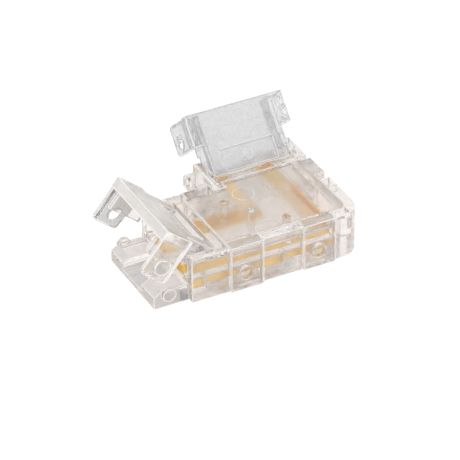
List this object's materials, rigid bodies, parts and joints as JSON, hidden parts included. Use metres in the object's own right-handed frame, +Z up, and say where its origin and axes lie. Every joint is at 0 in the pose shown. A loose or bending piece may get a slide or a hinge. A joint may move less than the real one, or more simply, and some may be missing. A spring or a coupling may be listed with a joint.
{
  "type": "led strip corner connector",
  "caption": "Clear L-shaped clip connector that joins flat two-conductor LED strips at a right angle under hinged snap-down flaps.",
  "frame": {"origin": "point on the underside where the centre lines of the two strips cross", "axes": "+Z up, from the underside to the cover; the left strip enters along -X and the back strip along +Y"},
  "size_m": [0.0262, 0.022, 0.0107],
  "materials": {
    "clear_housing": "clear moulded polycarbonate, gloss",
    "clear_cover": "clear moulded polycarbonate, gloss",
    "clear_flap": "clear moulded polycarbonate, gloss",
    "contact_metal": "thin gold plating on stamped copper alloy, satin"
  },
  "bodies": {
    "housing": {"lower_housing": "clear_housing", "top_cover": "clear_cover", "outer_contact": "contact_metal", "inner_contact": "contact_metal"},
    "left_flap": {"left_flap": "clear_flap"},
    "back_flap": {"back_flap": "clear_flap"}
  },
  "joints": [
    {"name": "left_flap_hinge", "type": "hinge", "parent": "housing", "child": "left_flap", "pos_m": [-0.01185, 0, 0.0049], "axis": [0, 1, 0], "range_deg": [-39.7, 52.3]},
    {"name": "back_flap_hinge", "type": "hinge", "parent": "housing", "child": "back_flap", "pos_m": [0, 0.0079, 0.0049], "axis": [1, 0, 0], "range_deg": [-48.2, 43.8]}
  ]
}
